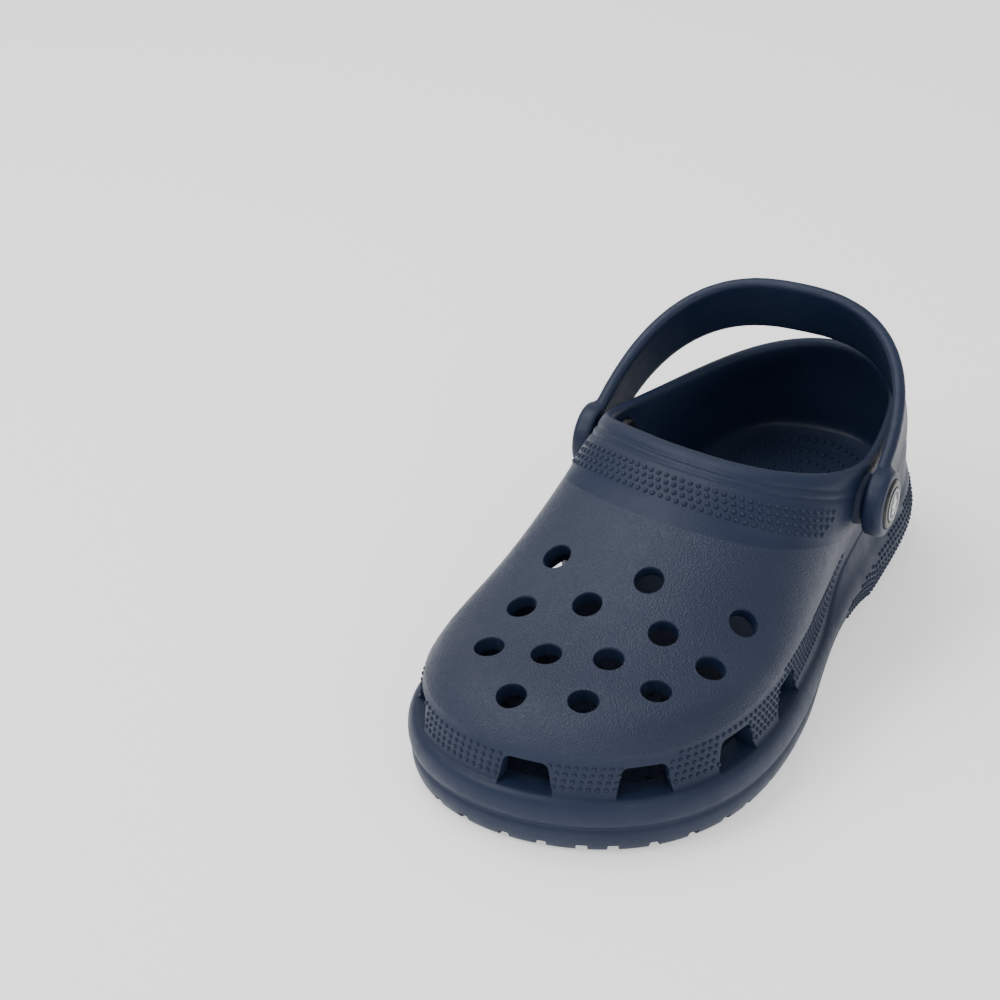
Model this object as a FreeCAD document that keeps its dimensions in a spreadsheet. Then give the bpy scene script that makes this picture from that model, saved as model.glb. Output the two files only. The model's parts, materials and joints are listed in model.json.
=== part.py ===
"""Left garden clog with a swinging heel strap on two rivets.

Frame: millimetres, +Z up, toe towards -Y, heel towards +Y, lateral (outer) side towards +X.
The origin is on the ground, under the middle of the clog.
"""
import FreeCAD, Part
import math
import os

V = FreeCAD.Vector
doc = FreeCAD.newDocument("garden_clog")

# ---------------------------------------------------------------- driving dimensions
sheet = doc.addObject("Spreadsheet::Sheet", "Sizes")
SIZES = {
    "clog_length": 293,         # toe bumper to heel
    "ball_width": 133,          # over the sole at the ball of the foot
    "sole_top": 23,             # top of the sole layer, where the upper starts
    "footbed_toe": 16,          # footbed height under the toes
    "footbed_heel": 27,         # footbed height under the heel
    "upper_wall": 5.5,          # foam thickness of the upper
    "toe_lip": 37,              # lip on top of the toe band
    "side_lip": 30,             # the same at the waist
    "throat_height": 91,        # top of the collar over the instep
    "rim_height": 73,           # top of the heel cup
    "vent_diameter": 12.5,      # round holes in the vamp
    "vent_length": 26,          # length of the cutter that makes one
    "port_width": 21,           # openings along the toe band
    "port_height": 12,
    "port_depth": 26,
    "arch_length": 84,          # relief under the arch
    "arch_height": 9,
    "arch_y": 19,
    "tread_depth": 3,
    "tread_width": 5,
    "tread_pitch": 17,
    "hinge_x": -3.7,            # middle of the rivet axis
    "hinge_y": 33,
    "hinge_z": 63,
    "hinge_yaw": 6.5,           # the axis turns with the heel, degrees from X
    "strap_half": 58.9,         # hinge middle to the strap's middle surface
    "strap_reach": 82,          # rivet axis to the back of the strap
    "strap_width": 22,
    "strap_thick": 5,
    "strap_end": 27,            # diameter of the round strap ends
    "strap_end_thick": 8,
    "strap_raise": 25,          # angle of the strap over the horizontal, at rest
    "rivet_stem": 8,            # stem diameter
    "rivet_bore": 8.15,         # hole in strap and shell
    "rivet_head": 19,           # head diameter
    "head_thick": 2.4,
    "head_sink": 1.6,           # depth of the recess for the head in the strap end
    "emblem_diameter": 14,
    "emblem_thick": 0.8,
    "emblem_recess": 0.5,
    "cap_thick": 3,
    "seat_inside": 48.2,        # hinge middle to the flat seat of the cap, inside the shell
    "seat_diameter": 20,
    "boss_diameter": 19,        # raised flat round the hole, outside the shell
    "running_gap": 0.3,         # between pieces that turn on each other
    "boss_gap": 0.5,            # between the boss and the strap end, which bows inwards a little
}
for row, (alias, value) in enumerate(SIZES.items(), start=1):
    sheet.set("A%d" % row, alias)
    sheet.set("B%d" % row, str(value))
    sheet.setAlias("B%d" % row, alias)
doc.recompute()


def size(alias):
    """A driving dimension, read from the sheet."""
    return float(sheet.get(alias))


def bind(obj, **cells):
    """Bind properties of an object to expressions on the sheet's cells."""
    for prop, text in cells.items():
        for alias in sorted(SIZES, key=len, reverse=True):
            text = text.replace("@" + alias, "Sizes." + alias)
        obj.setExpression(prop.replace("__", "."), text)
    return obj


# ---------------------------------------------------------------- clog shell: the outlines
# Places round the clog, from the middle of the heel over the lateral side, the toe and the medial side.
# Sole edge in halves of ball_width and clog_length.
SOLE_EDGE = [
    (-0.12, 1.00), (0.28, 0.955), (0.57, 0.80), (0.68, 0.57), (0.72, 0.33), (0.79, 0.08),
    (0.94, -0.17), (1.03, -0.42), (0.98, -0.66), (0.71, -0.86), (0.25, -0.975), (-0.21, -1.00),
    (-0.65, -0.94), (-0.91, -0.77), (-0.965, -0.55), (-0.89, -0.25), (-0.79, 0.06), (-0.77, 0.33),
    (-0.75, 0.62), (-0.57, 0.87),
]
# Middle of the rim at the same places: x, y in millimetres, and height as a share of the way
# from rim_height (0) to throat_height (1).
RIM = [
    (-10, 138, 0.0), (15, 133, 0.0), (34, 115, -0.08), (41, 87, -0.38), (46, 60, -0.34), (50, 40, 0.05),
    (49.5, 22, 0.4), (42, 6, 0.72), (29, -4, 0.89), (14, -8, 0.97), (0, -8.5, 1.0), (-14, -7, 0.97),
    (-28.5, -2.5, 0.89), (-43, 4, 0.72), (-53, 13, 0.45), (-57.5, 26, 0.15), (-58, 41, -0.1), (-55, 60, -0.22),
    (-48, 90, -0.18), (-34, 121, -0.05),
]
# How much a place belongs to the toe box: there the skin rises fast behind the lip, lies flat
# over the toes and climbs again to the instep. Elsewhere it rises evenly.
TOE_BOX = [0, 0, 0, 0, 0, 0.05, 0.35, 0.7, 1, 1, 1, 1, 1, 0.7, 0.35, 0.05, 0, 0, 0, 0]
SHARES = [0.0, 0.06, 0.16, 0.34, 0.55, 0.76, 0.93]
TOE_RISE = [0.0, 0.17, 0.25, 0.26, 0.41, 0.68, 0.93]
# Height of the lip, as a share of the way from side_lip (0) to toe_lip (1).
LIP = [0.6, 0.6, 0.5, 0.3, 0, 0, 0.1, 0.3, 0.6, 0.9, 1, 1, 0.9, 0.6, 0.3, 0.1, 0, 0.3, 0.5, 0.6]
# How far the side stands out over the sole's edge at its fullest, in millimetres: the heel flares.
FLARE = [2, 3.5, 5, 3.5, 0, 0, 0, 0, 0, 0, 0, 0, 0, 2, 1, 0, 0, 1.5, 8, 12]
SOLE_FLARE = [-0.6, -0.6, 0.1, 0.9, 1.0]
UPPER_FLARE = [1.0, 1.0, 1.0, 0.95, 0.8, 0.4, 0.05]
PLACES = len(SOLE_EDGE)


def footbed_z(y):
    """Height of the footbed plane at y."""
    share = y / size("clog_length") + 0.5
    return size("footbed_toe") + (size("footbed_heel") - size("footbed_toe")) * share


def rounded(points):
    """Closed smooth curve through points."""
    curve = Part.BSplineCurve()
    curve.interpolate(Points=points, PeriodicFlag=True)
    return curve


sole_edge = [V(x * size("ball_width") / 2, y * size("clog_length") / 2, 0) for x, y in SOLE_EDGE]
edge_curve = rounded(sole_edge)


def inward(k):
    """Horizontal direction from the sole's edge to its middle, square to the edge, at place k."""
    along = sole_edge[(k + 1) % PLACES] - sole_edge[k - 1]
    return V(-along.y, along.x, 0).normalize() * -1


def upper_point(k, share, toe_rise, flare):
    """Point of the upper's outer face at place k, from the lip (0) to the rim (1)."""
    x, y, rise = RIM[k]
    rim = V(x, y, size("rim_height") + rise * (size("throat_height") - size("rim_height")))
    lip_z = size("side_lip") + LIP[k] * (size("toe_lip") - size("side_lip"))
    lip = sole_edge[k] + inward(k) * 4 + V(0, 0, lip_z)
    point = lip + (rim - lip) * share - inward(k) * flare * FLARE[k]
    point.z = lip.z + (rim.z - lip.z) * (share + TOE_BOX[k] * (toe_rise - share))
    return point


def shell_rows():
    """Control rows of the shell's skin: up the outside, over the rim and down to the footbed."""
    rows = [
        [sole_edge[k] + inward(k) * (inset - flare * FLARE[k]) + V(0, 0, z) for k in range(PLACES)]
        for (inset, z), flare in zip(((7, 0), (1.5, 0), (-1, 9), (-1, 19), (2.5, 23.5)), SOLE_FLARE)
    ]
    rows += [[upper_point(k, *row) for k in range(PLACES)] for row in zip(SHARES, TOE_RISE, UPPER_FLARE)]
    skin = rows[5:]
    inner = []
    for i, row in enumerate(skin):
        thin = []
        for k, point in enumerate(row):
            across = row[(k + 1) % PLACES] - row[k - 1]
            up = skin[min(i + 1, len(skin) - 1)][k] - skin[max(i - 1, 0)][k]
            thin.append(point + across.cross(up).normalize() * size("upper_wall"))
        inner.append(thin)
    rim = []
    for k in range(PLACES):
        x, y, _ = RIM[k]
        out = skin[-1][k] - inner[-1][k]
        out.normalize()
        top = upper_point(k, 1.0, 1.0, 0.0)
        half = size("upper_wall") / 2
        rim.append((top + out * half + V(0, 0, 2), top - out * half + V(0, 0, 2)))
    rows.append([pair[0] for pair in rim])
    rows.append([pair[1] for pair in rim])
    rows += inner[::-1]
    bed = []
    for k in range(PLACES):
        point = sole_edge[k] + inward(k) * 13
        bed.append(V(point.x, point.y, footbed_z(point.y)))
    rows.append([p + V(0, 0, 6) - inward(k) * 1 for k, p in enumerate(bed)])
    rows.append([p for p in bed])
    return rows


def skin_surface(rows):
    """Smooth surface over a net of rows, closed round the clog."""
    count = len(rows)
    surface = Part.BSplineSurface()
    poles = [[rows[j][k] for j in range(count)] for k in range(PLACES)]
    surface.buildFromPolesMultsKnots(
        poles,
        [1] * (PLACES + 1),
        [4] + [1] * (count - 4) + [4],
        list(range(PLACES + 1)),
        list(range(count - 2)),
        True,
        False,
        3,
        3,
    )
    return surface


# ---------------------------------------------------------------- clog shell: the moulding
skin = skin_surface(shell_rows())
skin_face = skin.toShape()
rings = [edge for edge in skin_face.Edges if edge.isClosed()]
caps = [Part.Face(Part.Wire([edge])) for edge in rings]
moulding = doc.addObject("Part::Feature", "Moulding")
closed = Part.Shell([skin_face] + caps)
closed.sewShape()
moulding.Shape = Part.Solid(Part.Shell(closed.Faces))
if moulding.Shape.Volume < 0:
    moulding.Shape = moulding.Shape.reversed()


def cutter(kind, name, place, **cells):
    """A primitive with bound sizes, put in its place, for cutting the shell."""
    tool = doc.addObject(kind, name)
    bind(tool, **cells)
    tool.Placement = place
    return tool


# Round vents in the vamp: rows from the instep to the toe, x and y in millimetres.
VENTS = [
    (-31, -57), (8, -57), (44, -51),
    (-31, -82), (-8, -74), (23, -73), (44, -76),
    (-30, -106), (-9, -101), (12, -93), (34, -98),
    (-9, -125), (15, -116),
]


def outer_frame(x, y, z):
    """Nearest point of the skin to a guess, and the outward normal there."""
    u, v = skin.parameter(V(x, y, z))
    normal = skin.normal(u, v)
    point = skin.value(u, v)
    middle = V(0, point.y * 0.6, size("footbed_heel"))
    if normal.dot(point - middle) < 0:
        normal = normal * -1
    return point, normal


cutters = []
for number, (x, y) in enumerate(VENTS, start=1):
    guess = 60 + 0.25 * (y + 80) - abs(x) * 0.2
    point, normal = outer_frame(x, y, guess)
    turn = FreeCAD.Rotation(V(0, 0, 1), normal)
    start = point - normal * size("vent_length") / 2
    cutters.append(cutter("Part::Cylinder", "Vent%02d" % number, FreeCAD.Placement(start, turn),
                          Radius="@vent_diameter / 2", Height="@vent_length"))

# Openings along the toe band: share of the way round the sole's edge, by their places.
PORTS = [10.35, 9.0, 7.75, 6.6, 12.55, 14.1, 15.2]
for number, place in enumerate(PORTS, start=1):
    knots = edge_curve.getKnots()
    low = knots[int(place)]
    at = low + (knots[int(place) + 1] - low) * (place - int(place))
    point = edge_curve.value(at)
    along = edge_curve.tangent(at)[0] * -1
    into = V(-along.y, along.x, 0)
    turn = FreeCAD.Rotation(along, into, V(0, 0, 1), "XZY")
    corner = point - along * size("port_width") / 2 - into * 6 + V(0, 0, size("sole_top"))
    tool = cutter("Part::Box", "Port%d" % number, FreeCAD.Placement(corner, turn),
                  Length="@port_width", Width="@port_depth", Height="@port_height")
    if abs(tool.Placement.Rotation.multVec(V(0, 1, 0)).dot(into) - 1) > 0.01:
        raise SystemExit("port %d points the wrong way" % number)
    cutters.append(tool)

# Relief under the arch: a large cylinder lying across the sole.
arch_radius = "(@arch_length^2 / 4 + @arch_height^2) / (2 * @arch_height)"
arch = doc.addObject("Part::Cylinder", "Arch")
bind(arch, Radius=arch_radius, Height="@ball_width",
     Placement__Base__x="-@ball_width / 2", Placement__Base__y="@arch_y",
     Placement__Base__z="@arch_height - " + arch_radius)
arch.Placement = FreeCAD.Placement(arch.Placement.Base, FreeCAD.Rotation(V(0, 1, 0), 90))
cutters.append(arch)

# Tread: grooves across the forefoot and the heel block.
TREAD = [-7.5, -6.5, -5.5, -4.5, -3.5, -2.5, -1.5, 5, 6, 7]
for number, step in enumerate(TREAD, start=1):
    groove = doc.addObject("Part::Box", "Tread%02d" % number)
    bind(groove, Length="@ball_width", Width="@tread_width", Height="@tread_depth",
         Placement__Base__x="-@ball_width / 2",
         Placement__Base__y="@tread_pitch * %s - @tread_width / 2" % step)
    cutters.append(groove)

# Rivet holes, and a flat seat inside each, square to the hinge axis.
hinge_middle = V(size("hinge_x"), size("hinge_y"), size("hinge_z"))
yaw = FreeCAD.Rotation(V(0, 0, 1), size("hinge_yaw"))
hinge_frame = FreeCAD.Placement(hinge_middle, yaw)
OUTWARD = {"lateral": FreeCAD.Rotation(V(0, 1, 0), 90), "medial": FreeCAD.Rotation(V(0, 1, 0), -90)}


def on_axis(side, distance):
    """Placement on the hinge axis, +Z outwards, at a distance from the hinge's middle."""
    out = FreeCAD.Placement(V(0, 0, 0), OUTWARD[side])
    return hinge_frame.multiply(out).multiply(FreeCAD.Placement(V(0, 0, distance), FreeCAD.Rotation()))


strap_inside = size("strap_half") - size("strap_thick") / 2
bosses = []
for side in OUTWARD:
    cutters.append(cutter("Part::Cylinder", "Bore_" + side, on_axis(side, size("seat_inside") - 20),
                          Radius="@rivet_bore / 2", Height="@strap_half"))
    cutters.append(cutter("Part::Cylinder", "Seat_" + side, on_axis(side, size("seat_inside") - 12),
                          Radius="@seat_diameter / 2", Height="12"))
    bosses.append(cutter("Part::Cylinder", "Boss_" + side, on_axis(side, size("seat_inside") + 1),
                         Radius="@boss_diameter / 2",
                         Height="@strap_half - @strap_thick / 2 - @boss_gap - @seat_inside - 1"))
blank = doc.addObject("Part::MultiFuse", "ShellBlank")
blank.Shapes = [moulding] + bosses

tools = doc.addObject("Part::MultiFuse", "ShellCutters")
tools.Shapes = cutters
shell = doc.addObject("Part::Cut", "Shell")
shell.Base = blank
shell.Tool = tools
shell.Label = "clog_shell"
doc.recompute()


# ---------------------------------------------------------------- heel strap
def strap_outline(offset):
    """Half of the strap's loop in its own plane, as seen from above: a flattened half ellipse."""
    half = size("strap_half") + offset
    reach = size("strap_reach") + offset
    power = 2 / 2.6
    steps = 16
    points = [V(half, -size("strap_end") / 2, 0)]
    for step in range(steps + 1):
        angle = math.pi * step / steps
        side, back = math.cos(angle), math.sin(angle)
        points.append(V(math.copysign(abs(side) ** power, side) * half, back ** power * reach, 0))
    points.append(V(-half, -size("strap_end") / 2, 0))
    return points


def strap_edge(offset):
    """The loop's edge as one straight end, a smooth bow and the other straight end."""
    points = strap_outline(offset)
    bow = Part.BSplineCurve()
    bow.interpolate(Points=points[1:-1], InitialTangent=V(0, 1, 0), FinalTangent=V(0, -1, 0))
    return [Part.makeLine(points[0], points[1]), bow.toShape(), Part.makeLine(points[-2], points[-1])]


outer = strap_edge(size("strap_thick") / 2)
inner = strap_edge(-size("strap_thick") / 2)
ends = [Part.makeLine(outer[0].Vertexes[0].Point, inner[0].Vertexes[0].Point),
        Part.makeLine(outer[2].Vertexes[1].Point, inner[2].Vertexes[1].Point)]
loop = doc.addObject("Part::Feature", "StrapLoop")
loop.Shape = Part.Face(Part.Wire(Part.__sortEdges__(outer + inner + ends)))
band = doc.addObject("Part::Extrusion", "StrapBand")
band.Base = loop
band.Dir = V(0, 0, 1)
band.Solid = True
band.Symmetric = True
bind(band, LengthFwd="@strap_end + 2")

strap_ends = doc.addObject("Part::Cylinder", "StrapEnds")
bind(strap_ends, Radius="@strap_end / 2", Height="@strap_half * 2 + 40")
strap_ends.Placement = FreeCAD.Placement(V(-size("strap_half") - 20, 0, 0), FreeCAD.Rotation(V(0, 1, 0), 90))
strap_blank = doc.addObject("Part::Box", "StrapBlank")
bind(strap_blank, Length="@strap_half * 2 + 40", Width="@strap_reach + 20", Height="@strap_width",
     Placement__Base__x="-@strap_half - 20", Placement__Base__z="-@strap_width / 2")
side_view = doc.addObject("Part::MultiFuse", "StrapSideView")
side_view.Shapes = [strap_ends, strap_blank]
solid_strap = doc.addObject("Part::MultiCommon", "StrapSolid")
solid_strap.Shapes = [band, side_view]
end_discs = []
for name, start in (("StrapEndLateral", "@strap_half - @strap_thick / 2"),
                    ("StrapEndMedial", "-@strap_half + @strap_thick / 2 - @strap_end_thick")):
    end_disc = doc.addObject("Part::Cylinder", name)
    end_disc.Placement = FreeCAD.Placement(V(0, 0, 0), FreeCAD.Rotation(V(0, 1, 0), 90))
    bind(end_disc, Radius="@strap_end / 2", Height="@strap_end_thick", Placement__Base__x=start)
    end_discs.append(end_disc)
strap_blank_ends = doc.addObject("Part::MultiFuse", "StrapWithEnds")
strap_blank_ends.Shapes = [solid_strap] + end_discs
strap_bore = doc.addObject("Part::Cylinder", "StrapBore")
bind(strap_bore, Radius="@rivet_bore / 2", Height="@strap_half * 2 + 40")
strap_bore.Placement = strap_ends.Placement
sinks = [strap_bore]
for name, start in (("SinkLateral", "@strap_half - @strap_thick / 2 + @strap_end_thick - @head_sink"),
                    ("SinkMedial", "-@strap_half + @strap_thick / 2 - @strap_end_thick - 5")):
    sink = doc.addObject("Part::Cylinder", name)
    sink.Placement = FreeCAD.Placement(V(0, 0, 0), FreeCAD.Rotation(V(0, 1, 0), 90))
    bind(sink, Radius="@rivet_head / 2 + @running_gap", Height="@head_sink + 5", Placement__Base__x=start)
    sinks.append(sink)
strap_holes = doc.addObject("Part::MultiFuse", "StrapHoles")
strap_holes.Shapes = sinks
strap = doc.addObject("Part::Cut", "Strap")
strap.Base = strap_blank_ends
strap.Tool = strap_holes
strap.Label = "heel_strap"
raised = FreeCAD.Placement(V(0, 0, 0), FreeCAD.Rotation(V(1, 0, 0), size("strap_raise")))
strap.Placement = hinge_frame.multiply(raised)

# ---------------------------------------------------------------- rivets
# Each is a headed stud from outside, a cap snapped on its stem inside the shell, and a disc in its head.


def disc(name, side, distance, radius, height):
    """A round disc on the hinge axis; distance is from the hinge's middle to its inner face."""
    piece = doc.addObject("Part::Cylinder", name)
    bind(piece, Radius=radius, Height=height)
    piece.Placement = on_axis(side, distance)
    return piece


head_seat = strap_inside + size("strap_end_thick") - size("head_sink") + size("running_gap")
cap_seat = size("seat_inside") - size("running_gap")
emblem_seat = head_seat + size("head_thick") - size("emblem_recess")
rivets = []
for side in OUTWARD:
    head = disc(side + "_head", side, head_seat, "@rivet_head / 2", "@head_thick")
    stem = disc(side + "_stem", side, cap_seat - size("cap_thick"), "@rivet_stem / 2",
                "@strap_half - @strap_thick / 2 + @strap_end_thick - @head_sink + @running_gap * 2"
                " - @seat_inside + @cap_thick")
    recess = disc(side + "_recess", side, emblem_seat, "@emblem_diameter / 2", "@emblem_recess")
    whole = doc.addObject("Part::MultiFuse", side + "_whole")
    whole.Shapes = [head, stem]
    stud = doc.addObject("Part::Cut", side + "_stud")
    stud.Base = whole
    stud.Tool = recess
    stud.Label = side + "_rivet_stud"
    ring = disc(side + "_ring", side, cap_seat - size("cap_thick"), "@rivet_head / 2", "@cap_thick")
    hole = disc(side + "_hole", side, cap_seat - size("cap_thick"), "@rivet_stem / 2", "@cap_thick")
    cap = doc.addObject("Part::Cut", side + "_cap")
    cap.Base = ring
    cap.Tool = hole
    cap.Label = side + "_rivet_cap"
    emblem = disc(side + "_emblem", side, emblem_seat, "@emblem_diameter / 2", "@emblem_thick")
    emblem.Label = side + "_rivet_emblem"
    rivets += [stud, cap, emblem]

doc.recompute()

for obj in doc.Objects:
    if "Invalid" in obj.State or "Error" in obj.State:
        raise SystemExit("%s failed: %s" % (obj.Name, obj.State))
os.makedirs("parts", exist_ok=True)
for piece in [shell, strap] + rivets:
    if piece.Shape.isNull() or not piece.Shape.isValid() or len(piece.Shape.Solids) != 1:
        raise SystemExit(piece.Label + " is not one valid solid")
    piece.Shape.exportStep("parts/%s.step" % piece.Label)
    print(piece.Label, round(piece.Shape.Volume), piece.Shape.BoundBox)
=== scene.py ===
# %% [markdown]
# # A left garden clog
# A garden clog is moulded in one go from closed-cell foam: sole, footbed and vamp are one body. A strap
# of the same foam swings on two black rivets. This lesson builds those looks around a working frame
# that already holds the sizes, the hinge and the joints. The frame comes first, because every piece
# rides on one of its bodies.

# %% Load the frame
import json
import math

import bpy
import numpy as np
from mathutils import Matrix, Vector
from mathutils.bvhtree import BVHTree


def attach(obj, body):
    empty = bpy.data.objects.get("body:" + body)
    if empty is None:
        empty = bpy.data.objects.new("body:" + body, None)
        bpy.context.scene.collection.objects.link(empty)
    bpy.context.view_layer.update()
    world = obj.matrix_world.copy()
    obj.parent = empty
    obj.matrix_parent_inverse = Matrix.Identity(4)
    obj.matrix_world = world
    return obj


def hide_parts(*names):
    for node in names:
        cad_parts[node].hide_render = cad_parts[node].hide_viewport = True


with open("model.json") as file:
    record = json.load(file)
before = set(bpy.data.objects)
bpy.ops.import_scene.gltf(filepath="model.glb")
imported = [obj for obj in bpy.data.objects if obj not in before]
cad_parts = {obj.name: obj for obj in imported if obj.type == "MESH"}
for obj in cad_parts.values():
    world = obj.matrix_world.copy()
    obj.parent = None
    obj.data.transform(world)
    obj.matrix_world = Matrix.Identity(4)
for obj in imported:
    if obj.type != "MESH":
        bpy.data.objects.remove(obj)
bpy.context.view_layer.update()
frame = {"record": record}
MM = 0.001
joints = {joint["name"]: joint for joint in frame["record"]["behaviour"]["joints"]}
hinge = Vector(joints["strap_swing"]["pos_m"])
hinge_axis = Vector(joints["strap_swing"]["axis"]).normalized()
print("hinge at", hinge, "along", hinge_axis)

# %% [markdown]
# ## Camera, floor and light
# The camera comes before the modelling, so that each piece can be judged from the product's usual view:
# above the toe, a little to the outer side. A wide pale floor and three large soft lights give the even
# light of a shop's product shelf. One light stands high on the inner side and rakes over the grain.

# %% Camera
camera_data = bpy.data.cameras.new("camera")
camera_data.lens = 84.56
camera = bpy.data.objects.new("camera", camera_data)
camera.location = (0.3406, -0.6926, 0.5333)
camera.rotation_euler = (math.radians(90 - 31.31), 0, math.radians(31.96))
bpy.context.collection.objects.link(camera)
bpy.context.scene.camera = camera
print("camera with a lens of", camera_data.lens, "mm")


# %% A clean selection
def start_clean():
    """The frame's nodes stay selected after loading, and an operator acts on all that is selected."""
    if bpy.context.object and bpy.context.object.mode != "OBJECT":
        bpy.ops.object.mode_set(mode="OBJECT")
    bpy.ops.object.select_all(action="DESELECT")


def take(piece):
    """Select one object only and make it active."""
    start_clean()
    piece.select_set(True)
    bpy.context.view_layer.objects.active = piece
    return piece


# %% Floor and lights
FLOOR_GREY = (0.90, 0.90, 0.90, 1)
start_clean()
bpy.ops.mesh.primitive_plane_add(size=6, location=(0, 0, -0.0003))
floor = bpy.context.object
floor.name = "floor"
floor_paper = bpy.data.materials.new("floor_paper")
floor_paper.use_nodes = True
paper = floor_paper.node_tree.nodes["Principled BSDF"]
paper.inputs["Base Color"].default_value = FLOOR_GREY
paper.inputs["Roughness"].default_value = 0.9
# A little light of its own keeps the paper pale while the dark foam isn't washed out by the lamps.
paper.inputs["Emission Color"].default_value = (1, 1, 1, 1)
paper.inputs["Emission Strength"].default_value = 0.6
floor.data.materials.append(floor_paper)

world = bpy.context.scene.world or bpy.data.worlds.new("world")
bpy.context.scene.world = world
world.use_nodes = True
world.node_tree.nodes["Background"].inputs["Color"].default_value = (1, 1, 1, 1)
world.node_tree.nodes["Background"].inputs["Strength"].default_value = 0.75


def soft_light(name, place, aim, size, power):
    """A square area light of this size in metres, turned to a point."""
    data = bpy.data.lights.new(name, "AREA")
    data.shape = "SQUARE"
    data.size = size
    data.energy = power
    lamp = bpy.data.objects.new(name, data)
    lamp.location = place
    lamp.rotation_euler = (Vector(aim) - Vector(place)).to_track_quat("-Z", "Y").to_euler()
    bpy.context.collection.objects.link(lamp)
    return lamp


soft_light("overhead", (-0.55, 0.10, 1.25), (0, 0, 0.03), 0.8, 8)
soft_light("front_left", (-0.50, -0.75, 0.95), (0, 0, 0.03), 0.5, 6)
soft_light("front_right", (1.2, -0.9, 0.9), (0, 0, 0.05), 1.0, 5)
print("floor and three soft lights")

# %% [markdown]
# ## Finishes
# Every finish is a small sum of textures. Writing each Math node by hand hides the idea, so one class
# wraps a socket and lets Python's own operators add the nodes. A second class adds any other node
# from its type, its settings and the values of its sockets.


# %% Sockets that take part in sums
class Value:
    """An output socket; sums with it add Math nodes."""

    def __init__(self, finish, socket):
        self.finish = finish
        self.socket = socket

    def sum(self, operation, first, second):
        return self.finish.node("ShaderNodeMath", {"operation": operation}, {0: first, 1: second}, 0)

    def __add__(self, other):
        return self.sum("ADD", self, other)

    def __mul__(self, other):
        return self.sum("MULTIPLY", self, other)

    __radd__ = __add__
    __rmul__ = __mul__


class Finish:
    """A material and the one way to add nodes to it."""

    def __init__(self, name):
        self.material = bpy.data.materials.new(name)
        self.material.use_nodes = True
        self.tree = self.material.node_tree
        self.tree.nodes.clear()
        self.place = self.node("ShaderNodeTexCoord", {}, {}, "Object")

    def node(self, kind, settings, sockets, output):
        """Add a node: its settings first, then its sockets' values or links; returns one output."""
        made = self.tree.nodes.new(kind)
        for name, setting in settings.items():
            if name == "stops":
                self.stops(made.color_ramp, setting)
            else:
                setattr(made, name, setting)
        for name, given in sockets.items():
            if isinstance(given, Value):
                self.tree.links.new(given.socket, made.inputs[name])
            else:
                made.inputs[name].default_value = given
        return Value(self, made.outputs[output])

    def stops(self, ramp, stops):
        """Stops of a colour ramp, as (place, grey)."""
        for number, (place, grey) in enumerate(stops):
            stop = ramp.elements[number] if number < 2 else ramp.elements.new(place)
            stop.position = place
            stop.color = (grey, grey, grey, 1)

    def noise(self, scale, detail=2.0, rough=0.5):
        """Soft noise from 0 to 1 with this many lumps per metre."""
        sockets = {"Vector": self.place, "Scale": scale, "Detail": detail, "Roughness": rough}
        return self.node("ShaderNodeTexNoise", {}, sockets, 0)

    def ramp(self, value, *stops):
        return self.node("ShaderNodeValToRGB", {"stops": stops}, {"Fac": value}, "Color")

    def mix(self, share, first, second):
        """Colour between two, by share."""
        return self.node("ShaderNodeMix", {"data_type": "RGBA"}, {0: share, 6: first, 7: second}, 2)

    def bump(self, height, strength, distance, under=None):
        sockets = {"Height": height, "Strength": strength, "Distance": distance}
        if under:
            sockets["Normal"] = under
        return self.node("ShaderNodeBump", {}, sockets, "Normal")

    def finish(self, **sockets):
        """Close the material with a Principled shader; underscores in names stand for spaces."""
        named = {name.replace("_", " "): given for name, given in sockets.items()}
        shader = self.node("ShaderNodeBsdfPrincipled", {}, named, "BSDF")
        out = self.tree.nodes.new("ShaderNodeOutputMaterial")
        self.tree.links.new(shader.socket, out.inputs["Surface"])
        return self.material


# %% [markdown]
# Foam from a polished mould is satin, with a faint skin of tiny pits. On the vamp the mould is etched
# with a fine pebble grain that breaks up the highlight. The footbed is the most matt, and its navy is
# painted paler: painted light, which makes the footbed look more brightly lit than the rest of the foam.
# All share one recipe: navy pigment with slow cloudy changes, a little dust low on the sole, and a
# grain of a given size and depth.

# %% Foam finishes
NAVY = (0.0080, 0.0160, 0.0410, 1)
NAVY_PALE = (0.0140, 0.0240, 0.0530, 1)
DUST = (0.040, 0.046, 0.056, 1)


def foam(name, grain_scale, grain_depth, roughness, gloss=0.26, painted_light_share=0.0):
    """Moulded navy foam; grain_scale is in lumps per metre and grain_depth in metres; painted_light_share
    paints the navy paler, as painted light.
    """
    look = Finish(name)
    clouds = look.ramp(look.noise(28, 3.0), (0.35, 0), (0.70, 1))
    # The extra share of pale navy given here is painted light: it brightens the foam as if more light fell on
    # it.
    colour = look.mix(clouds * 0.55 + painted_light_share, NAVY, NAVY_PALE)
    height = look.node("ShaderNodeSeparateXYZ", {}, {0: look.place}, "Z")
    low = look.node("ShaderNodeMapRange", {}, {0: height, 1: 0.0, 2: 0.012, 3: 1.0, 4: 0.0}, 0)
    scuffs = look.ramp(look.noise(420, 5.0, 0.7), (0.50, 0), (0.78, 1))
    colour = look.mix(low * scuffs * 0.55, colour, DUST)
    grain = look.node(
        "ShaderNodeTexVoronoi", {"feature": "SMOOTH_F1"},
        {"Vector": look.place, "Scale": grain_scale, "Smoothness": 0.6}, "Distance",
    )
    pits = look.noise(grain_scale * 2.3, 2.0)
    skin = look.bump(grain * 0.8 + pits * 0.35, 1.0, grain_depth)
    rough = look.ramp(look.noise(160, 4.0), (0.3, roughness - 0.05), (0.7, roughness + 0.06))
    return look.finish(Base_Color=colour, Roughness=rough, Normal=skin, Specular_IOR_Level=gloss)


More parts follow.
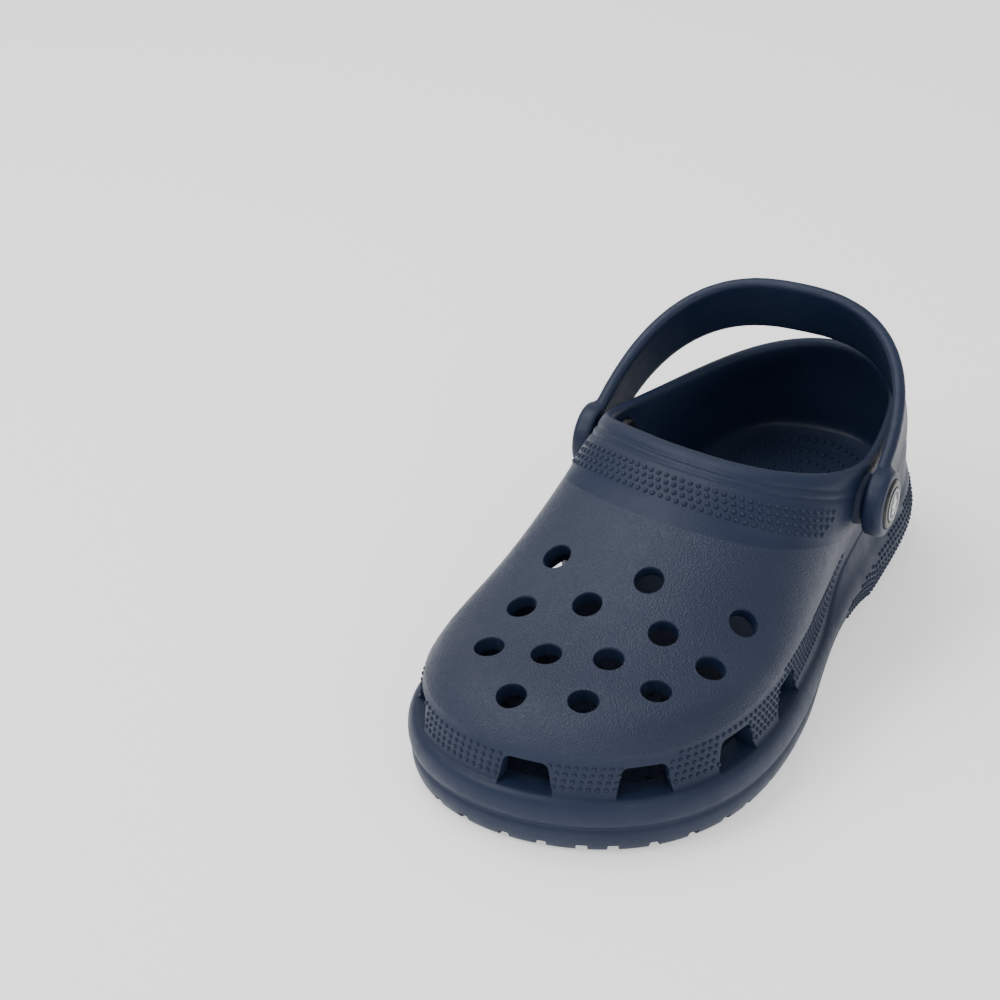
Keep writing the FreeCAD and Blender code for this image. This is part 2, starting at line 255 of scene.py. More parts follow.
foam_smooth = foam("foam_smooth", 1500, 0.00007, 0.46)
foam_pebbled = foam("foam_pebbled", 1500, 0.00030, 0.40, 0.36)
foam_strap = foam("foam_strap", 1700, 0.00005, 0.42)
# The footbed's paler navy is painted light: it makes the footbed look more brightly lit than the rest of the
# moulding.
foam_bed = foam("foam_footbed", 1300, 0.00012, 0.62, 0.2, 0.45)
print("foam finishes:", foam_smooth.name, foam_pebbled.name, foam_strap.name, foam_bed.name)

# %% Rivet and emblem finishes
plastic = Finish("rivet_black")
plastic_pits = plastic.noise(2600, 3.0)
plastic_rough = plastic.ramp(plastic.noise(500, 3.0), (0.3, 0.30), (0.7, 0.42))
plastic_shade = plastic.mix(plastic.noise(240), (0.007, 0.007, 0.008, 1), (0.013, 0.013, 0.015, 1))
rivet_black = plastic.finish(
    Base_Color=plastic_shade, Roughness=plastic_rough, Normal=plastic.bump(plastic_pits, 1.0, 0.00003),
)

enamel = Finish("emblem_pale")
enamel_shade = enamel.mix(enamel.noise(900, 3.0), (0.46, 0.50, 0.52, 1), (0.62, 0.65, 0.66, 1))
enamel_rough = enamel.ramp(enamel.noise(1200), (0.3, 0.24), (0.7, 0.34))
emblem_pale = enamel.finish(
    Base_Color=enamel_shade, Roughness=enamel_rough, Metallic=0.35,
    Normal=enamel.bump(enamel.noise(3000, 2.0), 1.0, 0.00002),
)
print("plastic finishes:", rivet_black.name, emblem_pale.name)

# %% [markdown]
# ## The moulding's outlines
# A shoe has no straight side to measure from. Its maker keeps it as sections: twenty places round the
# sole, from the middle of the heel over the outer side and the toe and back along the inner side.
# Each list below gives one thing at those places. A smooth closed curve joins them.

# %% Outlines at twenty places
HALF_WIDTH, HALF_LENGTH = 66.5 * MM, 146.5 * MM
WALL = 5.5 * MM
SOLE_EDGE = [
    (-0.12, 1.00), (0.28, 0.955), (0.57, 0.80), (0.68, 0.57), (0.72, 0.33), (0.79, 0.08),
    (0.94, -0.17), (1.03, -0.42), (0.98, -0.66), (0.71, -0.86), (0.25, -0.975), (-0.21, -1.00),
    (-0.65, -0.94), (-0.91, -0.77), (-0.965, -0.55), (-0.89, -0.25), (-0.79, 0.06), (-0.77, 0.33),
    (-0.75, 0.62), (-0.57, 0.87),
]
RIM = [
    (-10, 138, 0.0), (15, 133, 0.0), (34, 115, -0.08), (41, 87, -0.38), (46, 60, -0.34), (50, 40, 0.05),
    (49.5, 22, 0.4), (42, 6, 0.72), (29, -4, 0.89), (14, -8, 0.97), (0, -8.5, 1.0), (-14, -7, 0.97),
    (-28.5, -2.5, 0.89), (-43, 4, 0.72), (-53, 13, 0.45), (-57.5, 26, 0.15), (-58, 41, -0.1),
    (-55, 60, -0.22), (-48, 90, -0.18), (-34, 121, -0.05),
]
RIM_HEIGHT, THROAT_HEIGHT = 73, 91
TOE_BOX = [0, 0, 0, 0, 0, 0.05, 0.35, 0.7, 1, 1, 1, 1, 1, 0.7, 0.35, 0.05, 0, 0, 0, 0]
LIP_SHARE = [0.6, 0.6, 0.5, 0.3, 0, 0, 0.1, 0.3, 0.6, 0.9, 1, 1, 0.9, 0.6, 0.3, 0.1, 0, 0.3, 0.5, 0.6]
FLARE = [2, 3.5, 5, 3.5, 0, 0, 0, 0, 0, 0, 0, 0, 0, 2, 1, 0, 0, 1.5, 8, 12]
# Rows up the outside: inset from the sole's edge, height and flare; then share, rise at the toe, flare.
SOLE_ROWS = [(1.5, 0, -0.6), (-1, 9, 0.1), (-1, 19, 0.9), (2.5, 23.5, 1.0)]
UPPER_ROWS = [
    (0.0, 0.0, 1.0), (0.06, 0.17, 1.0), (0.16, 0.25, 1.0), (0.34, 0.26, 0.95),
    (0.55, 0.41, 0.8), (0.76, 0.68, 0.4), (0.93, 0.93, 0.05), (1.0, 1.0, 0.0),
]
PLACES = len(SOLE_EDGE)
STATIONS = 176
print(PLACES, "places read at", STATIONS, "stations")


# %% Smooth curves through the places
def weights(part):
    """Weights of four neighbouring points on a uniform cubic B-spline."""
    return (
        (1 - part) ** 3, 3 * part**3 - 6 * part**2 + 4, -3 * part**3 + 3 * part**2 + 3 * part + 1, part**3,
    )


def around(poles, turn=None):
    """A closed smooth row through the places, read at every station, or at the places in turn."""
    poles = np.asarray(poles, float)
    turn = np.arange(STATIONS) * PLACES / STATIONS if turn is None else np.atleast_1d(turn)
    first = np.floor(turn).astype(int)
    part = (turn - first).reshape((-1,) + (1,) * (poles.ndim - 1))
    return sum(w * poles[(first + k - 1) % PLACES] for k, w in enumerate(weights(part))) / 6


def upwards(rows, count):
    """A smooth run through rows that ends on the first and the last of them."""
    rows = np.asarray(rows, float)
    rows = np.concatenate([[2 * rows[0] - rows[1]], rows, [2 * rows[-1] - rows[-2]]])
    turn = np.linspace(0, len(rows) - 3, count)
    first = np.minimum(turn.astype(int), len(rows) - 4)
    part = (turn - first)[:, None, None]
    return sum(w * rows[first + k] for k, w in enumerate(weights(part))) / 6


def outward(row):
    """Level direction out of a closed row at each of its points."""
    along = np.roll(row, -1, 0) - np.roll(row, 1, 0)
    out = np.stack([-along[:, 1], along[:, 0], 0 * along[:, 0]], 1)
    return out / np.linalg.norm(out, axis=1, keepdims=True)


# %% The plain skin of the outside
edge_poles = np.array([(x * HALF_WIDTH, y * HALF_LENGTH, 0) for x, y in SOLE_EDGE])
edge_out = outward(edge_poles)
flare = np.array(FLARE)[:, None] * MM
skin_rows = []
for inset, height, share in SOLE_ROWS:
    skin_rows.append(edge_poles + edge_out * (flare * share - inset * MM) + (0, 0, height * MM))
lip_height = 30 + np.array(LIP_SHARE) * 7
lips = edge_poles - edge_out * 4 * MM + np.outer(lip_height, (0, 0, MM))
rims = np.array([(x, y, RIM_HEIGHT + rise * (THROAT_HEIGHT - RIM_HEIGHT)) for x, y, rise in RIM]) * MM
toe_box = np.array(TOE_BOX)
for share, toe_rise, spread in UPPER_ROWS:
    row = lips + (rims - lips) * share + edge_out * flare * spread
    row[:, 2] = lips[:, 2] + (rims - lips)[:, 2] * (share + toe_box * (toe_rise - share))
    skin_rows.append(row)
SKIN_ROWS = 260
skin = upwards([around(row) for row in skin_rows], SKIN_ROWS)
around_skin = np.roll(skin, -1, 1) - np.roll(skin, 1, 1)
skin_normal = np.cross(np.gradient(skin, axis=0), around_skin)
skin_normal /= np.linalg.norm(skin_normal, axis=2, keepdims=True)
from_rim = np.linalg.norm(np.diff(skin, axis=0), axis=2)
from_rim = np.concatenate([np.cumsum(from_rim[::-1], 0)[::-1], np.zeros((1, STATIONS))])
print("skin", skin.shape, "from", skin.min(axis=(0, 1)).round(4), "to", skin.max(axis=(0, 1)).round(4))


def at_height(heights):
    """Points of the skin at a height for each station."""
    return np.stack([
        [np.interp(heights[k], skin[:, k, 2], skin[:, k, axis]) for axis in range(3)]
        for k in range(STATIONS)
    ])


def at_distance(distances):
    """Points of the skin and their normals, this far below the rim at each station."""
    points, normals = np.zeros((STATIONS, 3)), np.zeros((STATIONS, 3))
    for k in range(STATIONS):
        down = from_rim[::-1, k]
        for axis in range(3):
            points[k, axis] = np.interp(distances[k], down, skin[::-1, k, axis])
            normals[k, axis] = np.interp(distances[k], down, skin_normal[::-1, k, axis])
    return points, normals


# %% [markdown]
# ## Lines that run round the moulding
# The looks of a clog are in its lines: the ledge on top of the sole, which climbs to the rivets and
# goes on as a crease round the heel; the lip over the dotted band; the top of the heel block; and the
# ribbed collar. Each is a height, or a weight from 0 to 1, at the same twenty places.

# %% Heights and weights of the lines
LEDGE = [50, 50, 50, 49, 39.5, 18.5, 23.5] + [22.5] * 8 + [22, 25, 45.7, 50, 50]
LIP = [57, 57, 57, 56, 51, 43.5, 41, 40, 38, 37.5, 37.5, 37.5, 37.5, 37.5, 36, 47.5, 58, 58, 57, 57]
BLOCK_TOP = [37, 36, 34, 31, 23, 12] + [11] * 10 + [13, 27, 36, 37]
HEEL = [1, 1, 1, 1, 0.7, -0.1, 0, 0, 0, 0, 0, 0, 0, 0, 0, 0, -0.1, 0.85, 1, 1]
BAND = [0, 0, 0, 0, -0.1, 1, 1, 1, 1, 1, 1, 1, 1, 1, 1, 1, 1, 0, 0, 0]
COLLAR = [0, 0, 0, 0, -0.1, 0.1, 0.9, 1, 1, 1, 1, 1, 1, 1, 0.9, 0.1, -0.1, 0, 0, 0]
ledge, lip, block_top = (around(heights) * MM for heights in (LEDGE, LIP, BLOCK_TOP))
heel, band, collar = (np.clip(around(shares), 0, 1)[:, None] for shares in (HEEL, BAND, COLLAR))
ARCH_MIDDLE, ARCH_HALF, ARCH_RISE = 19 * MM, 42 * MM, 9 * MM


def arch(y):
    """Height of the underside at y: the sole is lifted under the arch of the foot."""
    return ARCH_RISE * np.clip(1 - ((y - ARCH_MIDDLE) / ARCH_HALF) ** 2, 0, 1) ** 0.9


def side_row(height, offset):
    """A row of the side at these heights, pushed out by an offset in millimetres."""
    row = at_height(height)
    row = row + outward(row) * np.broadcast_to(offset, (STATIONS, 1)) * MM
    lift = arch(row[:, 1]) * np.clip(1 - height / (0.9 * ledge), 0, 1)
    row[:, 2] = height + lift
    return row


# %% Rows up the side
# For the front: height in millimetres or as a share from the groove to the ledge, then the offset.
# For the heel: height as a share of the block's top or a distance from a line, then the offset.
GROOVE = 11 * MM
FRONT_SIDE = [
    (0, -2.2), (0.5, -0.8), (2, -0.1), (5.5, 0.4), (9.0, 0.1), (10.3, -0.8), (11, -1.3), (11.9, -0.8),
    (13.3, 0.1),
]
FRONT_UPPER = [(0.45, 0.5), (0.72, 0.6), (0.88, 0.35), (0.96, -0.2)]
HEEL_BLOCK = [
    (0, -1.8), (0.03, -0.5), (0.08, 0.1), (0.16, 0.3), (0.3, 0.5), (0.45, 0.7), (0.6, 0.9), (0.75, 1.1),
    (0.9, 1.2),
]
side_rows = []
for (high, out), (share, heel_out) in zip(FRONT_SIDE, HEEL_BLOCK):
    height = (1 - heel[:, 0]) * high * MM + heel[:, 0] * share * block_top
    side_rows.append(side_row(height, (1 - heel) * out + heel * heel_out))
HEEL_STEP = [(-0.5, 1.15), (0.5, 0.1), (3.0, -0.1)]
for (share, out), (above, heel_out) in zip(FRONT_UPPER, HEEL_STEP + [(None, -0.1)]):
    front = GROOVE + (ledge - GROOVE) * share
    back = ledge - 3 * MM if above is None else block_top + above * MM
    height = (1 - heel[:, 0]) * front + heel[:, 0] * back
    side_rows.append(side_row(height, (1 - heel) * out + heel * heel_out))
ledge_row = len(side_rows)
side_rows.append(side_row(ledge - 0.7 * MM * heel[:, 0], (1 - heel) * -1.0))
side_rows.append(side_row(ledge + 0.2 * MM * (1 - heel[:, 0]), (1 - heel) * -1.8 + heel * -0.9))
WALL_ROWS = [(0.12, -1.8), (0.35, -1.3), (0.6, -0.9), (0.85, -0.6), (0.96, -0.5)]
for share, out in WALL_ROWS:
    side_rows.append(side_row(ledge + (lip - ledge) * share, band * out))
lip_row = len(side_rows)
side_rows.append(side_row(lip + 0.3 * MM, band * 0.1))
print(len(side_rows), "rows from the ground to the lip")

# %% Rows over the upper, the rim and the inside
# Distance below the rim in millimetres and offset of the collar's ribs, dotted band and step.
COLLAR_ROWS = [
    (24.4, 0.0), (23.6, 0.5), (21.5, 0.6), (17.0, 0.7), (12.0, 0.6), (9.4, 0.45), (8.7, -0.4), (7.9, 0.1),
    (7.0, 0.6), (6.0, 0.3), (5.1, -0.6), (4.2, 0.1), (3.0, 0.4), (1.5, 0.3),
]
COLLAR_WIDTH = 24.4 * MM


def distance_at(height):
    """How far below the rim the skin passes these heights, for each station."""
    heights = np.broadcast_to(height, STATIONS)
    return np.array([np.interp(heights[k], skin[:, k, 2], from_rim[:, k]) for k in range(STATIONS)])


lip_distance = distance_at(lip + 1.6 * MM)
squeeze = np.minimum(1, lip_distance * 0.62 / COLLAR_WIDTH)
VAMP_ROWS = 15
vamp_rows = []
for step in range(VAMP_ROWS):
    share = step / VAMP_ROWS
    row, _ = at_distance(lip_distance * (1 - share) + COLLAR_WIDTH * squeeze * share)
    vamp_rows.append(row)
collar_rows = []
for down, out in COLLAR_ROWS:
    row, normal = at_distance(down * MM * squeeze)
    collar_rows.append(row + normal * out * collar * MM)
top, top_normal = at_distance(np.zeros(STATIONS))
near_top, _ = at_distance(np.full(STATIONS, 3 * MM))
climb = (top - near_top) / np.linalg.norm(top - near_top, axis=1, keepdims=True)
middle = top - top_normal * WALL / 2
ROLL = 2.6 * MM
rim_rows = []
for degrees in (5, 35, 65, 90, 115, 145, 175):
    angle = math.radians(degrees)
    rim_rows.append(middle + top_normal * WALL / 2 * math.cos(angle) + climb * ROLL * math.sin(angle))
inner_rows = []
INNER_FOOT = 31 * MM
lip_inside = distance_at(INNER_FOOT)
for share in (0.03, 0.08, 0.16, 0.26, 0.38, 0.5, 0.62, 0.74, 0.86, 1.0):
    row, normal = at_distance(lip_inside * share)
    inner_rows.append(row - normal * WALL)

# %% The footbed and the underside
FOOTBED_TOE, FOOTBED_HEEL = 16 * MM, 27 * MM
outline = around(edge_poles)
outline_out = outward(outline)
half = STATIONS // 2
partner = (-np.arange(STATIONS)) % STATIONS
middles = (outline + outline[partner]) / 2
SPINE_END = 112 * MM
spine = middles.copy()
spine[:, 1] = middles[:, 1].clip(-SPINE_END, SPINE_END)
toe_to_heel = middles[half::-1]
spine[:, 0] = np.interp(spine[:, 1], toe_to_heel[:, 1], toe_to_heel[:, 0])


def footbed(y):
    return FOOTBED_TOE + (FOOTBED_HEEL - FOOTBED_TOE) * (y / HALF_LENGTH / 2 + 0.5)


def bed_row(share):
    """A row of the curve from the foot of the inner wall (0) to the edge of the footbed (1)."""
    row = inner_foot + (bed_edge - inner_foot) * share
    drop = inner_foot[:, 2] - footbed(row[:, 1])
    row[:, 2] = footbed(row[:, 1]) + drop * (1 - share) ** 2.2
    return row


def ring(edge, share, height):
    """A row between the spine (0) and an edge row (1)."""
    row = spine + (edge - spine) * share
    row[:, 2] = height(row)
    return row


def bed_height(row):
    """The footbed is dished in the heel and swells under the arch and behind the toes."""
    x, y = row[:, 0], row[:, 1]
    dish = 2.2 * MM * np.exp(-((x + 5 * MM) ** 2 / (26 * MM) ** 2 + (y - 92 * MM) ** 2 / (38 * MM) ** 2))
    swell = 3.5 * MM * np.exp(-((x + 34 * MM) ** 2 / (16 * MM) ** 2 + (y - 18 * MM) ** 2 / (34 * MM) ** 2))
    return footbed(y) - dish + swell


inner_foot = inner_rows[-1]
bed_edge = inner_foot - outward(inner_foot) * 8 * MM
bed_rows = [bed_row(share) for share in (0.2, 0.45, 0.7, 0.97)]
bed_rows += [ring(bed_edge, share, bed_height) for share in (0.86, 0.7, 0.52, 0.34, 0.16, 0.0)]
ground_edge = side_rows[0]
ground_rows = [
    ring(ground_edge, share, lambda row: arch(row[:, 1])) for share in (0.0, 0.2, 0.45, 0.7, 0.88, 0.96)
]
net = np.array(ground_rows + side_rows + vamp_rows + collar_rows + rim_rows + inner_rows + bed_rows)
first_vamp = len(ground_rows) + len(side_rows) - 1
last_vamp = first_vamp + VAMP_ROWS
print("net of", net.shape[0], "rows by", net.shape[1], "stations")

# %% [markdown]
# ## The moulding
# A grid is the right start for a form that is known as rows and stations: its columns close round
# the clog and its first and last rows close along the middle of the underside and of the footbed. Once
# its points stand in their places, merging doubles makes one closed body, and a subdivision rounds it.


# %% Grid to body
def body_from_net(name, rows):
    """A closed body from rows of points: columns run against the stations, so that faces look out."""
    count, stations = rows.shape[:2]
    start_clean()
    bpy.ops.mesh.primitive_grid_add(x_subdivisions=stations, y_subdivisions=count - 1, size=2)
    piece = bpy.context.object
    piece.name = name
    places = np.array([vertex.co for vertex in piece.data.vertices])
    column = np.rint((places[:, 0] + 1) / 2 * stations).astype(int)
    line = np.rint((places[:, 1] + 1) / 2 * (count - 1)).astype(int)
    piece.data.vertices.foreach_set("co", rows[line, (-column) % stations].ravel())
    return piece, line


def merge_doubles(piece, distance=0.00001):
    take(piece)
    bpy.ops.object.mode_set(mode="EDIT")
    bpy.ops.mesh.select_all(action="SELECT")
    bpy.ops.mesh.remove_doubles(threshold=distance)
    bpy.ops.object.mode_set(mode="OBJECT")


def apply(piece, kind, **settings):
    """Add a modifier, set it and apply it."""
    take(piece)
    modifier = piece.modifiers.new(kind.lower(), kind)
    for name, setting in settings.items():
        setattr(modifier, name, setting)
    bpy.ops.object.modifier_apply(modifier=modifier.name)


shell, shell_line = body_from_net("shell_moulding", net)
shell.data.materials.append(foam_smooth)
shell.data.materials.append(foam_pebbled)
shell.data.materials.append(foam_bed)
first_bed = len(net) - len(bed_rows)
for face in shell.data.polygons:
    lowest = min(shell_line[corner] for corner in face.vertices)
    face.material_index = 2 if lowest >= first_bed else int(first_vamp <= lowest < last_vamp)
merge_doubles(shell)
apply(shell, "SUBSURF", levels=1, render_levels=1)
print(len(shell.data.polygons), "faces in the moulding")


# %% [markdown]
# ## Cutting the moulding
# Vents, side ports, rivet bores and the notches of the tread are cut with solid tools. Each tool
# widens where it leaves the foam, because a mould has no knife edges. Round tools are turned: a circle
# is extruded ring by ring and scaled, as on a lathe.


# %% Turned pieces
def turned(name, profile, segments=48):
    """A closed round solid along +Z from (height, radius) pairs in millimetres."""
    start_clean()
    height, radius = profile[0]
    bpy.ops.mesh.primitive_circle_add(
        vertices=segments, radius=radius * MM, fill_type="NGON", location=(0, 0, height * MM)
    )
    piece = bpy.context.object
    piece.name = name
    bpy.ops.object.transform_apply(location=True, rotation=True, scale=True)
    bpy.ops.object.mode_set(mode="EDIT")
    bpy.ops.mesh.select_all(action="SELECT")
    for (low, narrow), (high, wide) in zip(profile, profile[1:]):
        bpy.ops.mesh.extrude_region_move(TRANSFORM_OT_translate={"value": (0, 0, (high - low) * MM)})
        factor = wide / narrow
        bpy.ops.transform.resize(value=(factor, factor, 1), center_override=(0, 0, high * MM))
    bpy.ops.mesh.select_all(action="SELECT")
    bpy.ops.mesh.normals_make_consistent(inside=False)
    bpy.ops.object.mode_set(mode="OBJECT")
    return piece


def put(piece, matrix):
    """Move a piece's mesh into place and leave its object at the origin."""
    piece.data.transform(matrix)
    piece.data.update()
    return piece


def frame_at(point, direction, turn=None):
    """Matrix with +Z along a direction at a point; +Y as near as can be to turn."""
    z = Vector(direction).normalized()
    y = Vector(turn or (0, 0, 1))
    x = y.cross(z).normalized()
    y = z.cross(x)
    return Matrix.Translation(Vector(point)) @ Matrix((x, y, z)).transposed().to_4x4()


def join(pieces, name):
    """One object from several."""
    start_clean()
    for piece in pieces:
        piece.select_set(True)
    bpy.context.view_layer.objects.active = pieces[0]
    if len(pieces) > 1:
        bpy.ops.object.join()
    pieces[0].name = name
    return pieces[0]


def combine(piece, operation, tool):
    """Boolean with a tool, which is then removed."""
    apply(piece, "BOOLEAN", operation=operation, object=tool, solver="MANIFOLD")
    bpy.data.objects.remove(tool, do_unlink=True)


def skin_tree(piece):
    """Nearest-point search on a piece's mesh."""
    piece.data.calc_loop_triangles()
    points = [vertex.co for vertex in piece.data.vertices]
    return BVHTree.FromPolygons(points, [list(tri.vertices) for tri in piece.data.loop_triangles])


whole_skin = skin_tree(shell)

# %% Rivet frames and bosses
OUTSIDE = {"lateral": hinge_axis, "medial": -hinge_axis}
SEAT_INSIDE = 48.2
rivet_frame = {side: frame_at(hinge, out) for side, out in OUTSIDE.items()}
for side in OUTSIDE:
    boss = turned("boss", [(49, 10.9), (52.3, 10.6), (54.4, 10.1), (55.4, 9.8), (55.9, 9.2)])
    put(boss, rivet_frame[side])
    combine(shell, "UNION", boss)
print("bosses fused:", len(shell.data.polygons), "faces")

# %% Vents
VENTS = [
    (-31, -57), (8, -57), (44, -51), (-31, -82), (-8, -74), (23, -73), (44, -76),
    (-30, -106), (-9, -101), (12, -93), (34, -98), (-9, -125), (15, -116),
]
VENT_PROFILE = [(-12, 5.4), (-1.1, 5.4), (-0.6, 5.45), (-0.25, 5.55), (0.0, 5.75), (0.3, 6.0), (4, 6.0)]
DOWN = Vector((0, 0, -1))
ABOVE = 200 * MM
tools = []
for x, y in VENTS:
    point, normal, _, _ = whole_skin.ray_cast(Vector((x * MM, y * MM, ABOVE)), DOWN)
    tools.append(put(turned("vent_tool", VENT_PROFILE), frame_at(point, normal, (0, 1, 0))))
combine(shell, "DIFFERENCE", join(tools, "vent_tools"))
print(len(VENTS), "vents cut")

# %% Side ports
PORTS = [10.35, 9.0, 7.75, 6.6, 12.55, 14.1, 15.2]
PORT_FOOT, PORT_TOP, PORT_HEIGHT = 10.3, 8.9, 11.8


def port_tool(point, into):
    """A rounded trapezoid, standing on the ledge, that narrows as it goes into the foam."""
    outline = [(-PORT_FOOT, -0.3), (PORT_FOOT, -0.3)]
    corner = 3.0
    middle_up = PORT_HEIGHT - corner
    for middle, turns in ((PORT_TOP - corner, (10, 35, 60, 85)), (corner - PORT_TOP, (95, 120, 145, 170))):
        for degrees in turns:
            angle = math.radians(degrees)
            outline.append((middle + corner * math.cos(angle), middle_up + corner * math.sin(angle)))
    start_clean()
    bpy.ops.mesh.primitive_circle_add(vertices=len(outline), radius=1, fill_type="NGON")
    tool = bpy.context.object
    for vertex, (across, up) in zip(tool.data.vertices, outline):
        vertex.co = (across * MM, up * MM, 0)
    bpy.ops.object.mode_set(mode="EDIT")
    bpy.ops.mesh.select_all(action="SELECT")
    for forward, grow in ((6, 1.0), (1.2, 0.95), (1.4, 0.955), (22, 0.99)):
        bpy.ops.mesh.extrude_region_move(TRANSFORM_OT_translate={"value": (0, 0, forward * MM)})
        bpy.ops.transform.resize(value=(grow, grow, 1), center_override=(0, 0.3 * PORT_HEIGHT * MM, 0))
    bpy.ops.mesh.select_all(action="SELECT")
    bpy.ops.mesh.normals_make_consistent(inside=False)
    bpy.ops.object.mode_set(mode="OBJECT")
    start = Vector(point) - Vector(into) * 5 * MM
    return put(tool, frame_at(start, into))


tools = []
wall_foot = side_rows[ledge_row + 1]
into_foam = -outward(wall_foot)
for place in PORTS:
    station = int(round(place * STATIONS / PLACES)) % STATIONS
    tools.append(port_tool(wall_foot[station], into_foam[station]))
combine(shell, "DIFFERENCE", join(tools, "port_tools"))
print(len(PORTS), "ports cut")

# %% Bores, seats and tread
BORE_PROFILE, SEAT_PROFILE = [(30, 4.1), (62, 4.1)], [(36, 10), (SEAT_INSIDE, 10)]
for name, profile in (("bores", BORE_PROFILE), ("seats", SEAT_PROFILE)):
    pair = [put(turned(name, profile), place) for place in rivet_frame.values()]
    combine(shell, "DIFFERENCE", join(pair, name))


def block(name, sizes, matrix, bevel=0.4):
    """A box with softened edges, sizes in millimetres."""
    start_clean()
    bpy.ops.mesh.primitive_cube_add(size=1)
    piece = bpy.context.object
    piece.name = name
    put(piece, Matrix.Diagonal([value * MM for value in sizes] + [1]))
    apply(piece, "BEVEL", width=bevel * MM, segments=2)
    return put(piece, matrix)


NOTCH_PITCH = 14.5 * MM
lengths = np.linalg.norm(np.roll(outline, -1, 0) - outline, axis=1)
walked = np.cumsum(lengths) - lengths
tools = []
for number in range(int(walked[-1] / NOTCH_PITCH)):
    station = int(np.searchsorted(walked, (number + 0.5) * NOTCH_PITCH)) % STATIONS
    point = side_rows[1][station]
    if arch(point[1]) > 0.2 * MM:
        continue
    place = frame_at(point + (0, 0, 0.4 * MM), -outline_out[station])
    tools.append(block("notch", (4.2, 5.6, 15), place))
notches = len(tools)
TREAD_BARS = [-116, -99, -82, -65, -48, -31, 82, 99, 116]
TREAD_MARGINS = 46
for y in TREAD_BARS:
    beside = [point for point in outline if abs(point[1] - y * MM) < 6 * MM]
    left, right = min(point[0] for point in beside), max(point[0] for point in beside)
    width = (right - left) / MM - TREAD_MARGINS
    place = Matrix.Translation(((left + right) / 2, y * MM, 0))
    tools.append(block("tread_bar", (width, 5, 6), place))
for tool in tools:
    combine(shell, "DIFFERENCE", tool)
print(notches, "notches and", len(TREAD_BARS), "bars cut in the tread")

# %% [markdown]
# ## Side slots
# On each side of the heel cup runs a long shallow slot with a raised bar in it, which lets the thick
# foam cool evenly and gives the fingers a grip. The tool is a thin plate laid on the skin: a grid whose
# ends are rounded, snapped to the skin and given a wall by Solidify.


# %% Plates laid on the skin
def at_place(place, height):
    """Skin point at a place, not only at a station."""
    station = place * STATIONS / PLACES
    low = int(math.floor(station))
    part = station - low
    near = skin[:, low % STATIONS] * (1 - part) + skin[:, (low + 1) % STATIONS] * part
    return Vector([np.interp(height, near[:, 2], near[:, axis]) for axis in range(3)])


def plate(name, tree, ends, half_width, top, thickness):
    """A plate with round ends along the skin; ends are two (place, height) pairs, sizes in mm."""
    (place_a, height_a), (place_b, height_b) = ends
    columns, lines = 40, 8
    start_clean()
    bpy.ops.mesh.primitive_grid_add(x_subdivisions=columns, y_subdivisions=lines, size=2)
    piece = bpy.context.object
    piece.name = name
    # The slot is longer than the straight line between its ends, because the skin is round.
    length = (at_place(*ends[1]) - at_place(*ends[0])).length / MM * 1.06
    for vertex in piece.data.vertices:
        # Points crowd towards the ends, where the outline is round.
        along = math.sin(vertex.co.x * math.pi / 2)
        end = max(0.0, half_width - (1 - abs(along)) * length / 2)
        wide = math.sqrt(max(half_width**2 - end**2, 0.01))
        share = (along + 1) / 2
        height = height_a + (height_b - height_a) * share + vertex.co.y * wide * MM
        point, normal, _, _ = tree.find_nearest(at_place(place_a + (place_b - place_a) * share, height))
        vertex.co = point + normal * top * MM
    piece.data.update()
    take(piece)
    bpy.ops.object.mode_set(mode="EDIT")
    bpy.ops.mesh.select_all(action="SELECT")
    out = sum(face.normal.dot(tree.find_nearest(face.center)[1]) for face in piece.data.polygons)
    if out < 0:
        bpy.ops.mesh.flip_normals()
    bpy.ops.object.mode_set(mode="OBJECT")
    apply(piece, "SOLIDIFY", thickness=thickness * MM, offset=-1)
    return piece


SLOT_HALF, BAR_HALF = 5.6, 2.9
SLOTS = {"medial": ((17.62, 62 * MM), (18.75, 63 * MM)), "lateral": ((3.15, 61 * MM), (2.0, 62 * MM))}
bars = []
for ends in SLOTS.values():
    combine(shell, "DIFFERENCE", plate("slot_tool", whole_skin, ends, SLOT_HALF, 2.0, 3.5))
    (place_a, height_a), (place_b, height_b) = ends
    shift = (place_b - place_a) * 0.07
    inner = ((place_a + shift, height_a), (place_b - shift, height_b))
    bar = plate("slot_bar", whole_skin, inner, BAR_HALF, 0.1, 2.2)
    apply(bar, "BEVEL", width=0.7 * MM, segments=2, limit_method="ANGLE", angle_limit=math.radians(50))
    bars.append(bar)
slot_bars = join(bars, "slot_bars")
slot_bars.data.materials.append(foam_smooth)
print("slots cut on both sides of the heel")


# %% Shade and place the moulding
def shade(piece, degrees):
    """Smooth shading, except over edges sharper than this."""
    take(piece)
    bpy.ops.object.shade_smooth_by_angle(angle=math.radians(degrees))


shade(shell, 38)
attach(shell, "shell")
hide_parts("clog_shell")
shade(slot_bars, 40)
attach(slot_bars, "shell")
print("moulding:", len(shell.data.polygons), "faces")

# %% [markdown]
# ## Dots and nubs
# Bands of small dots, set like the cells of a honeycomb, cover the side of the toe, the collar and the
# heel block. There are hundreds, so one dot is modelled with few faces and copied. Each copy stands on
# the nearest point of the skin, turned to its normal. The footbed has larger round nubs in rows.


# %% One dot and its copies
def dome(name, radius, height, segments=6):
    """A low closed dome over z = 0, in millimetres."""
    start_clean()
    bpy.ops.mesh.primitive_uv_sphere_add(segments=segments, ring_count=4, radius=radius * MM)
    piece = bpy.context.object
    piece.name = name
    bpy.ops.object.mode_set(mode="EDIT")
    bpy.ops.mesh.select_all(action="SELECT")
    bpy.ops.mesh.bisect(plane_co=(0, 0, -0.0001), plane_no=(0, 0, 1), clear_inner=True, use_fill=True)
    bpy.ops.object.mode_set(mode="OBJECT")
    piece.data.transform(Matrix.Diagonal((1, 1, height / radius, 1)))
    return piece


